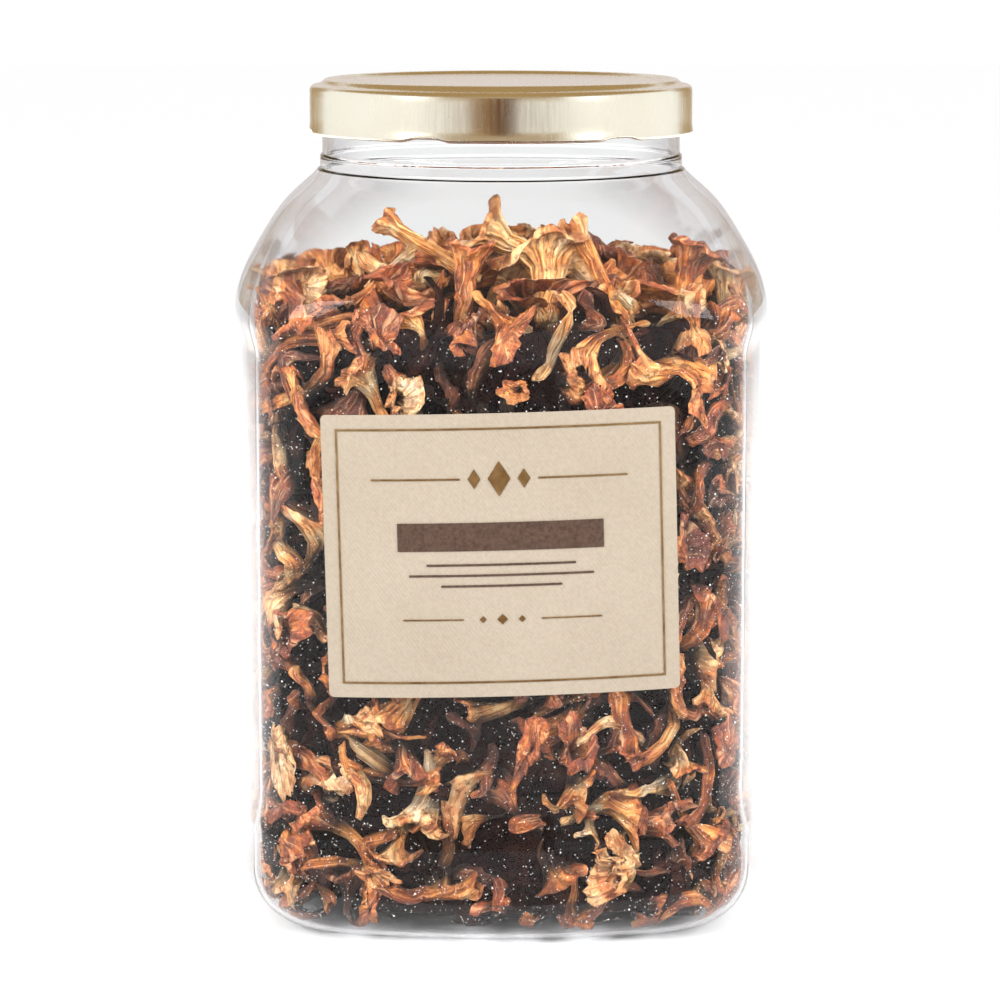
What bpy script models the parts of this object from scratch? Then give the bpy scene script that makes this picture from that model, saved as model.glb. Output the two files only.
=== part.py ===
# Square clear PET jar with a twist-off metal lid, filled with dried chanterelle mushrooms.
# Metres, +Z up. The origin is the middle of the jar's foot, and the label faces -Y.

import math
import random

import bmesh
import bpy
from mathutils import Euler, Matrix, Vector
from mathutils.bvhtree import BVHTree

MM = 0.001
GAP = 0.3 * MM                 # left between pieces that touch
MERGE = 0.002 * MM             # points closer than this become one after a union

# Jar body
WALL = 1.2 * MM
PANEL_HALF = 76.9 * MM         # half the width between opposite flat panels
BUMP_HALF = 78.7 * MM          # the bumps that frame the panels above and below
FACE_RADIUS = 220 * MM         # the gentle bulge of each side, seen from above
CORNER_RADIUS = 24 * MM
BASE_FILLET = 20 * MM
FOOT_INNER_HALF = 46 * MM
PUSH_UP = 3 * MM               # how far the middle of the floor is raised
RING_STEPS = 5                 # points in each eighth of a section of the jar
SIDE_SHARE = 0.4               # share of them that lies on the side, before the corner
SIDE_ANGLE = math.radians(14.3)  # how far the side has turned where the corner begins

# Neck
NECK_RADIUS = 52.8 * MM
NECK_RING_RADIUS = 53.5 * MM
NECK_RING_LOW = 219 * MM
NECK_RING_HIGH = 222.6 * MM
RIM_HEIGHT = 241.6 * MM

# Twist-off closure
STARTS = 6
THREAD_RADIUS = 54.7 * MM
THREAD_ARC = math.radians(35)
THREAD_LOW = 231.0 * MM        # underside of a thread at its lower end
THREAD_THICKNESS = 1.8 * MM
THREAD_STEPS = 4
TURN_TO_OPEN = math.radians(40)
RISE_TO_OPEN = 2 * MM
CLIMB = RISE_TO_OPEN / TURN_TO_OPEN
LUG_TIP_RADIUS = 53.5 * MM
LUG_ROOT_RADIUS = 55.9 * MM
LUG_ARC = math.radians(9)
LUG_START = math.radians(3)    # how far under its thread a lug has gone when shut
LUG_THICKNESS = 1.4 * MM

# Lid
LID_RADIUS = 56.75 * MM
LID_BOTTOM = 229 * MM
LID_TOP = 245 * MM
LID_PANEL_RADIUS = 48.3 * MM
LID_PANEL_TOP = 244.1 * MM
LID_SHEET = 0.65 * MM
LID_STEPS = 40

# Label
LABEL_WIDTH = 99.5 * MM
LABEL_HEIGHT = 80.6 * MM
LABEL_MIDDLE = 115.1 * MM
LABEL_THICKNESS = 0.3 * MM
LABEL_TILT = math.radians(1.5)
LABEL_COLUMNS = 10

# Dried mushrooms
SEED = 31
FILL_GAP = 0.9 * MM            # between the pieces and the inside of the wall
FILL_FLOOR = PUSH_UP + WALL + GAP
LAYER_LEVELS = [FILL_FLOOR, 41 * MM, 77 * MM, 113 * MM, 149 * MM]
LAYER_TILT = 0.05              # greatest slope of the boundary between two layers
CORE_HALF = 64 * MM
CORE_LUMPS = 3 * MM            # how uneven the core's sides are
CORE_LEVELS = 3                # bands in the height of a core
PIECES_PER_LAYER = 15
HEAP_EDGE = 181 * MM           # height of the heap at the wall
CORE_DROP = 17 * MM            # how far the core's top stays below that at its edge
HEAP_RISE = 13 * MM            # how much higher the middle of the heap is
TOP_PIECES = 12
TOP_SIZE = 0.85
LOOSE_PIECES = 6
LOOSE_SIZE = 0.62
LOOSE_SPREAD = 30 * MM         # greatest distance of a loose piece from the axis
LOOSE_TRIES = 5                # places tried for each loose piece; the lowest is kept
MUSHROOM_LENGTH = 44 * MM
CAP_RADIUS = 15.5 * MM
STEM_RADIUS = 4 * MM
MUSHROOM_SIDES = 6
FACING_SHARE = 0.25            # of the pieces at the wall, those with the cap towards it


# Scene, materials and meshes

def clear_scene():
    for thing in list(bpy.data.objects):
        bpy.data.objects.remove(thing, do_unlink=True)


def make_collection(name, hidden=False):
    collection = bpy.data.collections.new(name)
    bpy.context.scene.collection.children.link(collection)
    collection.hide_render = hidden
    return collection


def make_material(name, colour, roughness, metallic=0.0, alpha=1.0):
    material = bpy.data.materials.new(name)
    material.use_nodes = True
    shader = material.node_tree.nodes["Principled BSDF"]
    shader.inputs["Base Color"].default_value = (*colour, 1.0)
    shader.inputs["Roughness"].default_value = roughness
    shader.inputs["Metallic"].default_value = metallic
    shader.inputs["Alpha"].default_value = alpha
    return material


def make_object(name, mesh, collection, material=None):
    thing = bpy.data.objects.new(name, mesh)
    collection.objects.link(thing)
    if material:
        mesh.materials.clear()
        mesh.materials.append(material)
    return thing


def loft(name, rings, start_cap="flat", end_cap="flat"):
    """A closed solid through rings of equal length; a cap is "flat", a point, or None when open."""
    form = bmesh.new()
    rows = [[form.verts.new(point) for point in ring] for ring in rings]
    count = len(rows[0])
    for lower, upper in zip(rows, rows[1:]):
        for k in range(count):
            after = (k + 1) % count
            form.faces.new((lower[k], lower[after], upper[after], upper[k]))
    for row, cap in ((rows[0], start_cap), (rows[-1], end_cap)):
        if isinstance(cap, Vector):
            tip = form.verts.new(cap)
            for k in range(count):
                form.faces.new((row[k], row[(k + 1) % count], tip))
        elif cap == "flat":
            form.faces.new(row)
    bmesh.ops.recalc_face_normals(form, faces=form.faces)
    mesh = bpy.data.meshes.new(name)
    form.to_mesh(mesh)
    form.free()
    return mesh


def apply_modifiers(thing):
    graph = bpy.context.evaluated_depsgraph_get()
    mesh = bpy.data.meshes.new_from_object(thing.evaluated_get(graph))
    thing.modifiers.clear()
    thing.data = mesh


def fuse(base, pieces, collection_name, solver):
    """Join pieces to base with one union, then remove them."""
    tools = make_collection(collection_name, hidden=True)
    for piece in pieces:
        tools.objects.link(piece)
        piece.hide_render = True
        piece.display_type = "WIRE"
    union = base.modifiers.new("union", "BOOLEAN")
    union.operation = "UNION"
    union.operand_type = "COLLECTION"
    union.collection = tools
    union.solver = solver
    apply_modifiers(base)
    for piece in pieces:
        bpy.data.objects.remove(piece, do_unlink=True)
    bpy.data.collections.remove(tools)
    keep_main_body(base)


def triangulate(mesh):
    form = bmesh.new()
    form.from_mesh(mesh)
    bmesh.ops.triangulate(form, faces=form.faces)
    form.to_mesh(mesh)
    form.free()


def keep_main_body(thing):
    """Fill sealed hollows and drop loose scraps: only the largest connected surface stays."""
    form = bmesh.new()
    form.from_mesh(thing.data)
    bmesh.ops.remove_doubles(form, verts=form.verts, dist=MERGE)
    bmesh.ops.dissolve_degenerate(form, edges=form.edges, dist=MERGE)
    waiting = set(form.faces)
    bodies = []
    while waiting:
        first = waiting.pop()
        body = [first]
        front = [first]
        while front:
            face = front.pop()
            for edge in face.edges:
                for other in edge.link_faces:
                    if other in waiting:
                        waiting.remove(other)
                        body.append(other)
                        front.append(other)
        bodies.append(body)
    bodies.sort(key=lambda faces: sum(face.calc_area() for face in faces))
    for scrap in bodies[:-1]:
        bmesh.ops.delete(form, geom=scrap, context="FACES")
    bmesh.ops.triangulate(form, faces=form.faces)
    form.to_mesh(thing.data)
    form.free()


# The jar's plan section: four bulged sides and round corners, or a circle at roundness 1

def section_radii(half, roundness):
    side = (1 - roundness) * FACE_RADIUS * half / BUMP_HALF + roundness * half
    corner = (1 - roundness) * CORNER_RADIUS * half / BUMP_HALF + roundness * half
    return side, corner


def corner_centre(half, side, corner):
    reach = side - half
    under = 2 * (side - corner) ** 2 - reach ** 2
    return (math.sqrt(under) - reach) / 2


def section_point(half, roundness, eighth, step):
    """Point number step of RING_STEPS in an eighth of the section, as distance and side step."""
    side, corner = section_radii(half, roundness)
    share = step / RING_STEPS
    round_angle = math.radians(45) * share
    if share < SIDE_SHARE:
        square_angle = SIDE_ANGLE * share / SIDE_SHARE
    else:
        square_angle = SIDE_ANGLE + (math.radians(45) - SIDE_ANGLE) * (share - SIDE_SHARE) / (1 - SIDE_SHARE)
    angle = (1 - roundness) * square_angle + roundness * round_angle
    if roundness > 0.999:
        return half * math.cos(angle), half * math.sin(angle)
    centre = corner_centre(half, side, corner)
    if angle <= math.atan2(centre, centre + side - half):
        return half - side + side * math.cos(angle), side * math.sin(angle)
    return centre + corner * math.cos(angle), centre + corner * math.sin(angle)


def section_ring(half, roundness, height):
    ring = []
    for eighth in range(8):
        for step in range(RING_STEPS):
            place = step if eighth % 2 == 0 else RING_STEPS - step
            along, across = section_point(half, roundness, eighth, place)
            if eighth % 2:
                across = -across
            turn = Matrix.Rotation(math.radians(90) * ((eighth + 1) // 2), 3, "Z")
            ring.append(turn @ Vector((along, across, height)))
    return ring


def section_reach(half, azimuth):
    """Distance from the axis to the square section in the direction azimuth."""
    side, corner = section_radii(half, 0)
    centre = corner_centre(half, side, corner)
    fold = abs((azimuth + math.pi / 4) % (math.pi / 2) - math.pi / 4)
    offset = half - side
    reach = offset * math.cos(fold) + math.sqrt(side ** 2 - (offset * math.sin(fold)) ** 2)
    if math.atan2(reach * math.sin(fold), reach * math.cos(fold) - offset) <= math.atan2(centre, centre - offset):
        return reach
    spread = centre * (math.cos(fold) + math.sin(fold))
    return spread + math.sqrt(spread ** 2 - 2 * centre ** 2 + corner ** 2)


def jar_outline():
    """(height, half-width, roundness) of the outside, from the rim down to the raised floor."""
    outline = [
        (RIM_HEIGHT, NECK_RADIUS, 1),
        (NECK_RING_HIGH + 0.4 * MM, NECK_RADIUS, 1),
        (NECK_RING_HIGH, NECK_RING_RADIUS, 1),
        (NECK_RING_LOW, NECK_RING_RADIUS, 1),
        (217 * MM, 55.7 * MM, 0.97),
        (208.9 * MM, 64.3 * MM, 0.72),
        (197.8 * MM, 71.7 * MM, 0.38),
        (187.6 * MM, 76.9 * MM, 0.1),
        (179 * MM, BUMP_HALF, 0),
        (170 * MM, PANEL_HALF, 0),
        (39 * MM, PANEL_HALF, 0),
        (30 * MM, BUMP_HALF, 0),
    ]
    for k in range(5):
        angle = math.radians(22.5) * k
        height = BASE_FILLET * (1 - math.sin(angle))
        outline.append((height, BUMP_HALF - BASE_FILLET * (1 - math.cos(angle)), 0))
    outline.append((0, FOOT_INNER_HALF, 0.2))
    outline.append((PUSH_UP * 0.85, FOOT_INNER_HALF * 0.7, 0.8))
    outline.append((PUSH_UP, FOOT_INNER_HALF * 0.4, 1))
    return outline


# Jar, lid, seal and label

def thread_ring(angle, height, outer):
    ring = []
    for radius, level in (
        (NECK_RADIUS - 0.5 * MM, 0),
        (outer, 0.15),
        (outer, 0.7),
        (NECK_RADIUS - 0.5 * MM, 1),
    ):
        across = Vector((math.cos(angle), math.sin(angle), 0)) * radius
        ring.append(across + Vector((0, 0, height + level * THREAD_THICKNESS)))
    return ring


def build_jar(collection, material):
    rings = [section_ring(half, roundness, height) for height, half, roundness in jar_outline()]
    mesh = loft("jar", rings, start_cap=None, end_cap=Vector((0, 0, PUSH_UP)))
    if mesh.polygons[0].normal.dot(mesh.polygons[0].center.normalized()) < 0:
        mesh.flip_normals()
    jar = make_object("jar", mesh, collection, material)
    shell = jar.modifiers.new("wall", "SOLIDIFY")
    shell.thickness = WALL
    shell.offset = -1
    shell.use_even_offset = True
    apply_modifiers(jar)
    threads = []
    for start in range(STARTS):
        rings = []
        for step in range(THREAD_STEPS + 1):
            along = THREAD_ARC * step / THREAD_STEPS
            low = step in (0, THREAD_STEPS)
            outer = NECK_RADIUS + (0.2 * MM if low else THREAD_RADIUS - NECK_RADIUS)
            angle = math.radians(360) / STARTS * start + along
            rings.append(thread_ring(angle, THREAD_LOW + CLIMB * along, outer))
        mesh = loft("thread", rings)
        threads.append(bpy.data.objects.new("thread", mesh))
    fuse(jar, threads, "jar_threads", "EXACT")
    jar.data.set_sharp_from_angle(angle=math.radians(35))
    return jar


def turned(name, profile, collection, material):
    """A solid turned round Z from a closed outline of (radius, height), outer side downwards."""
    form = bmesh.new()
    points = [form.verts.new((radius, 0, height)) for radius, height in profile]
    for first, second in zip(points, points[1:]):
        form.edges.new((first, second))
    if profile[0][0] > 0:
        form.edges.new((points[-1], points[0]))
    mesh = bpy.data.meshes.new(name)
    form.to_mesh(mesh)
    form.free()
    thing = make_object(name, mesh, collection, material)
    screw = thing.modifiers.new("turn", "SCREW")
    screw.steps = LID_STEPS
    screw.render_steps = LID_STEPS
    screw.use_merge_vertices = True
    screw.merge_threshold = 0.00001
    apply_modifiers(thing)
    return thing


def lid_profile():
    inside = LID_RADIUS - LID_SHEET
    under_panel = LID_PANEL_TOP - LID_SHEET
    return [
        (0, LID_PANEL_TOP),
        (LID_PANEL_RADIUS, LID_PANEL_TOP),
        (50 * MM, LID_TOP - 0.3 * MM),
        (51.2 * MM, LID_TOP),
        (53 * MM, LID_TOP - 0.3 * MM),
        (55.6 * MM, LID_TOP - 1.6 * MM),
        (LID_RADIUS, LID_TOP - 3 * MM),
        (LID_RADIUS, LID_BOTTOM + 1.6 * MM),
        (LID_RADIUS - 0.3 * MM, LID_BOTTOM + 0.4 * MM),
        (LID_RADIUS - 1.1 * MM, LID_BOTTOM),
        (LID_RADIUS - 1.55 * MM, LID_BOTTOM + 0.6 * MM),
        (LID_RADIUS - 1.45 * MM, LID_BOTTOM + 1.6 * MM),
        (inside, LID_BOTTOM + 2.2 * MM),
        (inside, LID_TOP - 3.2 * MM),
        (55.1 * MM, LID_TOP - 2.1 * MM),
        (52.8 * MM, LID_TOP - 0.95 * MM),
        (51.2 * MM, LID_TOP - 0.7 * MM),
        (50.2 * MM, LID_TOP - 0.95 * MM),
        (LID_PANEL_RADIUS + 0.2 * MM, under_panel),
        (0, under_panel),
    ]


def lug_ring(angle, low, high):
    ring = []
    for radius, height in (
        (LUG_ROOT_RADIUS, low),
        (LUG_TIP_RADIUS, low + 0.3 * MM),
        (LUG_TIP_RADIUS, high),
        (LUG_ROOT_RADIUS, high),
    ):
        across = Vector((math.cos(angle), math.sin(angle), 0)) * radius
        ring.append(across + Vector((0, 0, height)))
    return ring


def build_lid(collection, material):
    lid = turned("lid", lid_profile(), collection, material)
    lugs = []
    for start in range(STARTS):
        first = math.radians(360) / STARTS * start + LUG_START
        rings = []
        for step in range(3):
            along = LUG_ARC * step / 2
            high = THREAD_LOW - GAP + CLIMB * LUG_START
            rings.append(lug_ring(first + along, high - LUG_THICKNESS, high))
        lugs.append(bpy.data.objects.new("lug", loft("lug", rings)))
    fuse(lid, lugs, "lid_lugs", "EXACT")
    lid.data.set_sharp_from_angle(angle=math.radians(40))
    return lid


def build_seal(collection, material):
    low = RIM_HEIGHT + GAP
    profile = [
        (50.7 * MM, LID_TOP - 1.6 * MM),
        (52.6 * MM, LID_TOP - 1.4 * MM),
        (54.3 * MM, LID_TOP - 2.3 * MM),
        (54.3 * MM, low + 0.2 * MM),
        (53.6 * MM, low),
        (50.9 * MM, low),
        (50.6 * MM, low + 0.4 * MM),
    ]
    return turned("lid_seal", profile, collection, material)


def build_label(collection, material):
    bpy.ops.mesh.primitive_grid_add(x_subdivisions=LABEL_COLUMNS, y_subdivisions=1, size=1)
    label = bpy.context.object
    for other in list(label.users_collection):
        other.objects.unlink(label)
    collection.objects.link(label)
    label.name = "label"
    label.data.materials.append(material)
    centre_depth = FACE_RADIUS * PANEL_HALF / BUMP_HALF - PANEL_HALF
    radius = centre_depth + PANEL_HALF + GAP + 0.05 * MM
    for vertex in label.data.vertices:
        flat = Vector((vertex.co.x * LABEL_WIDTH, vertex.co.y * LABEL_HEIGHT))
        across = flat.x * math.cos(LABEL_TILT) - flat.y * math.sin(LABEL_TILT)
        up = flat.x * math.sin(LABEL_TILT) + flat.y * math.cos(LABEL_TILT)
        depth = math.sqrt(radius ** 2 - across ** 2) - centre_depth
        vertex.co = Vector((across, -depth, LABEL_MIDDLE + up))
    sheet = label.modifiers.new("sheet", "SOLIDIFY")
    sheet.thickness = LABEL_THICKNESS
    sheet.offset = 1
    label.data.shade_smooth()
    return label


# Mushrooms

def mushroom_mesh(draw, size=1.0):
    """A dried chanterelle along +Z: wrinkled stem, flared cap with a waved rim, sunken top."""
    length = MUSHROOM_LENGTH * size * draw.uniform(0.8, 1.05)
    cap = CAP_RADIUS * size * draw.uniform(0.8, 1.15)
    stem = STEM_RADIUS * size * draw.uniform(0.85, 1.2)
    lean = Vector((draw.uniform(-1, 1), draw.uniform(-1, 1), 0)) * 0.22 * length
    waves = draw.choice((2, 3, 3))
    wave_turn = draw.uniform(0, 6.28)
    fold = draw.uniform(0.62, 0.95)
    fold_turn = draw.uniform(0, 3.14)

    def ring(height, radius, wave, ridge):
        points = []
        for k in range(MUSHROOM_SIDES):
            angle = 2 * math.pi * k / MUSHROOM_SIDES
            swell = 1 + wave * math.sin(waves * angle + wave_turn) + ridge * math.cos(3 * angle)
            squeeze = 1 - (1 - fold) * wave * 3 * math.cos(angle - fold_turn) ** 2
            lift = wave * 0.5 * cap * math.cos(waves * angle + wave_turn + 1)
            bend = lean * height ** 2
            across = Vector((math.cos(angle), math.sin(angle), 0)) * radius * swell * squeeze
            points.append(across + bend + Vector((0, 0, height * length + lift)))
        return points

    rings = [
        ring(0, stem * 0.75, 0, 0.1),
        ring(0.45, stem, 0, 0.12),
        ring(0.72, (stem + cap) * 0.42, 0.05, 0.14),
        ring(1, cap, 0.24, 0.05),
    ]
    sunk = lean * 0.8 + Vector((0, 0, 0.83 * length))
    return loft("mushroom", rings, end_cap=sunk)


def fill_half(height):
    """Half-width that the pieces may reach at a height, clear of the wall all the way."""
    outline = [(level, half) for level, half, roundness in jar_outline() if level > 180 * MM]
    limit = PANEL_HALF
    for (high, high_half), (low, low_half) in zip(outline, outline[1:]):
        if low <= height <= high:
            share = (height - low) / (high - low)
            limit = min(limit, low_half + share * (high_half - low_half))
    limit -= WALL + FILL_GAP
    if height < BASE_FILLET:
        inner = BASE_FILLET - WALL - 2 * FILL_GAP
        drop = min(BASE_FILLET - height, inner)
        limit = min(limit, BUMP_HALF - BASE_FILLET + math.sqrt(inner ** 2 - drop ** 2))
    return limit


def keep_inside(point, inset):
    """Press a point back from the jar's wall, as the pieces lie flat against it."""
    azimuth = math.atan2(point.y, point.x)
    limit = section_reach(fill_half(point.z), azimuth) - inset
    if point.z > 186 * MM:
        limit = min(limit, fill_half(point.z))
    distance = math.hypot(point.x, point.y)
    if distance > limit:
        point.x *= limit / distance
        point.y *= limit / distance


def layer_planes(draw):
    """Slightly tilted boundaries of the layers: (height on the axis, slope x, slope y)."""
    planes = [(LAYER_LEVELS[0], 0, 0)]
    for level in LAYER_LEVELS[1:]:
        planes.append((level, draw.uniform(-LAYER_TILT, LAYER_TILT), draw.uniform(-LAYER_TILT, LAYER_TILT)))
    return planes


def plane_height(plane, point):
    return plane[0] + plane[1] * point.x + plane[2] * point.y


def heap_height(point):
    """Height of the core's top in the uppermost layer: low at the wall, high in the middle."""
    share = min(1, math.hypot(point.x, point.y) / PANEL_HALF)
    return HEAP_EDGE - CORE_DROP + HEAP_RISE * math.cos(share * math.pi / 2)


def fit_layer(mesh, low_plane, high_plane, inset):
    """Move a piece, and shrink it if it must be, so that it lies between two planes."""
    heights = [vertex.co.z for vertex in mesh.vertices]
    middle = (max(heights) + min(heights)) / 2
    for vertex in mesh.vertices:
        low = plane_height(low_plane, vertex.co) + GAP + inset
        high = plane_height(high_plane, vertex.co) - GAP - inset if high_plane else HEAP_EDGE + 8 * MM
        room = high - low
        span = max(max(heights) - min(heights), room)
        centre = min(max(middle, low + span / 2 * room / span), high - span / 2 * room / span)
        vertex.co.z = centre + (vertex.co.z - middle) * min(1, room / span)
        vertex.co.z = min(max(vertex.co.z, low), high)
        keep_inside(vertex.co, inset)


def wall_piece(draw, azimuth, height):
    """A mushroom lying against the wall with its foot in the core, or with its cap to the wall."""
    mesh = mushroom_mesh(draw)
    facing = draw.random() < FACING_SHARE
    reach = section_reach(fill_half(height), azimuth) - (11 if facing else 8) * MM
    roll = Matrix.Rotation(draw.uniform(0, 6.28), 4, "X")
    lean = draw.uniform(0.8, 1.3) if facing else draw.uniform(0.1, 0.3)
    lay = Euler((0, lean, 0)).to_matrix().to_4x4()
    centre = Matrix.Translation((0, 0, -0.55 * MUSHROOM_LENGTH))
    spin = Matrix.Rotation(draw.uniform(0, 6.28), 4, "Z")
    out = Matrix.Rotation(azimuth, 4, "Z") @ Matrix.Translation((reach, 0, height))
    mesh.transform(out @ roll @ lay @ centre @ spin)
    return mesh


def top_piece(draw, azimuth, distance):
    """A mushroom standing out of the top of the heap, leaning or lying over."""
    mesh = mushroom_mesh(draw, TOP_SIZE)
    spot = Vector((distance * math.cos(azimuth), distance * math.sin(azimuth), 0))
    tilt = Euler((0, draw.uniform(0.5, 1.5), azimuth + draw.uniform(-2, 2))).to_matrix().to_4x4()
    sink = Vector((0, 0, heap_height(spot) - 7 * MM))
    mesh.transform(Matrix.Translation(spot + sink) @ tilt)
    return mesh


def core_ring(draw, half, height_at, lumps=CORE_LUMPS):
    """A ring of the core, uneven by lumps, at the heights that height_at gives."""
    ring = []
    for point in section_ring(half, 0, 0)[::2]:
        point *= 1 + draw.uniform(-lumps, lumps) / half
        point.z = height_at(point)
        ring.append(point)
    return ring


def layer_core(draw, low_plane, high_plane):
    """The hidden middle of a layer, which the pieces stand out of."""
    def low(point):
        return plane_height(low_plane, point) + GAP / 2

    def high(point):
        return plane_height(high_plane, point) - GAP / 2 if high_plane else heap_height(point)

    rings = []
    for level in range(CORE_LEVELS + 1):
        share = level / CORE_LEVELS
        half = CORE_HALF - (2 * FILL_GAP if low_plane[0] == FILL_FLOOR and level == 0 else 0)
        rings.append(core_ring(draw, half, lambda point: low(point) + share * (high(point) - low(point))))
    if high_plane:
        return loft("core", rings)
    for share in (0.72, 0.4):
        rings.append(core_ring(draw, CORE_HALF * share, heap_height))
    return loft("core", rings, end_cap=Vector((0, 0, heap_height(Vector((0, 0, 0))))))


def build_layers(collection, material):
    draw = random.Random(SEED)
    planes = layer_planes(draw)
    layers = []
    for index, low_plane in enumerate(planes):
        top = index == len(planes) - 1
        high_plane = None if top else planes[index + 1]
        name = "mushrooms_top" if top else f"mushrooms_layer_{index + 1}"
        core = make_object(name, layer_core(draw, low_plane, high_plane), collection, material)
        pieces = []
        depth = HEAP_EDGE - low_plane[0] if top else high_plane[0] - low_plane[0]
        for k in range(PIECES_PER_LAYER):
            azimuth = 2 * math.pi * (k + 0.5 * (index % 2) + draw.uniform(-0.2, 0.2)) / PIECES_PER_LAYER
            share = 0.3 if k % 2 else 0.7
            mesh = wall_piece(draw, azimuth, low_plane[0] + share * depth)
            fit_layer(mesh, low_plane, high_plane, draw.uniform(0, 0.6) * MM)
            pieces.append(bpy.data.objects.new("piece", mesh))
        for k in range(TOP_PIECES if top else 0):
            azimuth = k * math.radians(137.5)
            distance = CORE_HALF * 0.95 * math.sqrt((k + 0.5) / TOP_PIECES)
            mesh = top_piece(draw, azimuth, distance)
            for vertex in mesh.vertices:
                keep_inside(vertex.co, 0)
            pieces.append(bpy.data.objects.new("piece", mesh))
        fuse(core, pieces, name + "_pieces", "MANIFOLD")
        core.data.set_sharp_from_angle(angle=math.radians(50))
        layers.append(core)
    return layers


def surface_tree(thing):
    return BVHTree.FromPolygons(
        [vertex.co for vertex in thing.data.vertices],
        [tuple(face.vertices) for face in thing.data.polygons],
    )


def drop_height(mesh, below):
    """How far a piece can be lowered before it would touch what is below, leaving a gap."""
    points = [vertex.co.copy() for vertex in mesh.vertices]
    faces = [tuple(face.vertices) for face in mesh.polygons]
    fall = 0
    step = 0.5 * MM
    while True:
        fall += step
        lowered = [point - Vector((0, 0, fall)) for point in points]
        tree = BVHTree.FromPolygons(lowered, faces)
        if any(tree.overlap(other) for other in below):
            return fall - step - GAP / 2


def loose_mesh(draw, azimuth):
    distance = LOOSE_SPREAD * draw.uniform(0.2, 1)
    mesh = mushroom_mesh(draw, LOOSE_SIZE)
    lay = Euler((0, draw.uniform(1.2, 1.7), draw.uniform(0, 6.28))).to_matrix().to_4x4()
    spot = Vector((distance * math.cos(azimuth), distance * math.sin(azimuth), RIM_HEIGHT))
    mesh.transform(Matrix.Translation(spot) @ lay)
    triangulate(mesh)
    return mesh


def build_loose(collection, material, heap):
    """Whole mushrooms lying on the heap: each is lowered until it would touch what is below."""
    draw = random.Random(SEED + 1)
    below = [surface_tree(heap)]
    for k in range(LOOSE_PIECES):
        azimuth = math.radians(25) + 2 * math.pi * k / LOOSE_PIECES
        tries = [loose_mesh(draw, azimuth) for attempt in range(LOOSE_TRIES)]
        falls = [drop_height(mesh, below) for mesh in tries]
        tops = [max(point.co.z for point in mesh.vertices) - fall for mesh, fall in zip(tries, falls)]
        best = tops.index(min(tops))
        tries[best].transform(Matrix.Translation((0, 0, -falls[best])))
        loose = make_object(f"mushroom_loose_{k + 1}", tries[best], collection, material)
        tries[best].set_sharp_from_angle(angle=math.radians(50))
        below.append(surface_tree(loose))


def build():
    clear_scene()
    parts = make_collection("jar_of_dried_chanterelles")
    clear = make_material("clear PET", (0.9, 0.92, 0.93), 0.08, alpha=0.3)
    gold = make_material("gold lacquer", (0.78, 0.62, 0.38), 0.3, metallic=1.0)
    grey = make_material("sealing compound", (0.72, 0.7, 0.66), 0.6)
    paper = make_material("beige paper", (0.72, 0.58, 0.42), 0.8)
    dried = make_material("dried chanterelle", (0.5, 0.24, 0.07), 0.75)
    light = make_material("pale dried chanterelle", (0.66, 0.4, 0.16), 0.75)
    build_jar(parts, clear)
    build_lid(parts, gold)
    build_seal(parts, grey)
    build_label(parts, paper)
    layers = build_layers(parts, dried)
    build_loose(parts, light, layers[-1])


build()
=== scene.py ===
import math
import random

import bmesh
import bpy
import numpy as np
from mathutils import Euler, Matrix, Vector


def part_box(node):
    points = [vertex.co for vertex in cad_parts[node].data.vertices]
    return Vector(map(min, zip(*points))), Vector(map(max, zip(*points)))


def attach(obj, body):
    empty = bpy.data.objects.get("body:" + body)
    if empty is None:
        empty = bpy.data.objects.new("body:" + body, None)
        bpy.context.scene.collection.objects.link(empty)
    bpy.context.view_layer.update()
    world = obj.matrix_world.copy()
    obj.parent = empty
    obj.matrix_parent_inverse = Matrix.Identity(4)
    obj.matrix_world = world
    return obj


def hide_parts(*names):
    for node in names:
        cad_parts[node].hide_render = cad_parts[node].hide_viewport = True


# A square clear jar of dried chanterelles, dressed for the picture.
# Metres, +Z up. The jar stands on z = 0 and its label faces -Y.
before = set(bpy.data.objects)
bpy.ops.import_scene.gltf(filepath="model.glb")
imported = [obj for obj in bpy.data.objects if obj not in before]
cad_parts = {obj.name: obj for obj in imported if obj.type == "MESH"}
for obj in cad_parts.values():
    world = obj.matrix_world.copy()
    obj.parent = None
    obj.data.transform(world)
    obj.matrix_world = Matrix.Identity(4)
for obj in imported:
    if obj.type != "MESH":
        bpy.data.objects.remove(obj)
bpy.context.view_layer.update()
mm = 0.001


# Small helpers

def addObject(name, form):
    mesh = bpy.data.meshes.new(name)
    form.to_mesh(mesh)
    form.free()
    thing = bpy.data.objects.new(name, mesh)
    bpy.context.scene.collection.objects.link(thing)
    return thing


def finishPiece(thing, body, materials, node=None, sharp=None):
    for material in materials:
        thing.data.materials.append(material)
    if sharp is None:
        thing.data.shade_smooth()
    else:
        thing.data.set_sharp_from_angle(angle=math.radians(sharp))
    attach(thing, body)
    if node:
        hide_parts(node)


def gridForm(around, along, points):
    # a grid laid over points[row, column], welded where its sides and poles meet
    form = bmesh.new()
    bmesh.ops.create_grid(form, x_segments=around, y_segments=along, size=1)
    form.verts.ensure_lookup_table()
    for vertex, point in zip(form.verts, points.reshape(-1, 3)):
        vertex.co = point
    bmesh.ops.remove_doubles(form, verts=form.verts, dist=0.001 * mm)
    bmesh.ops.dissolve_degenerate(form, edges=form.edges, dist=0.0005 * mm)
    bmesh.ops.recalc_face_normals(form, faces=form.faces)
    return form


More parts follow.
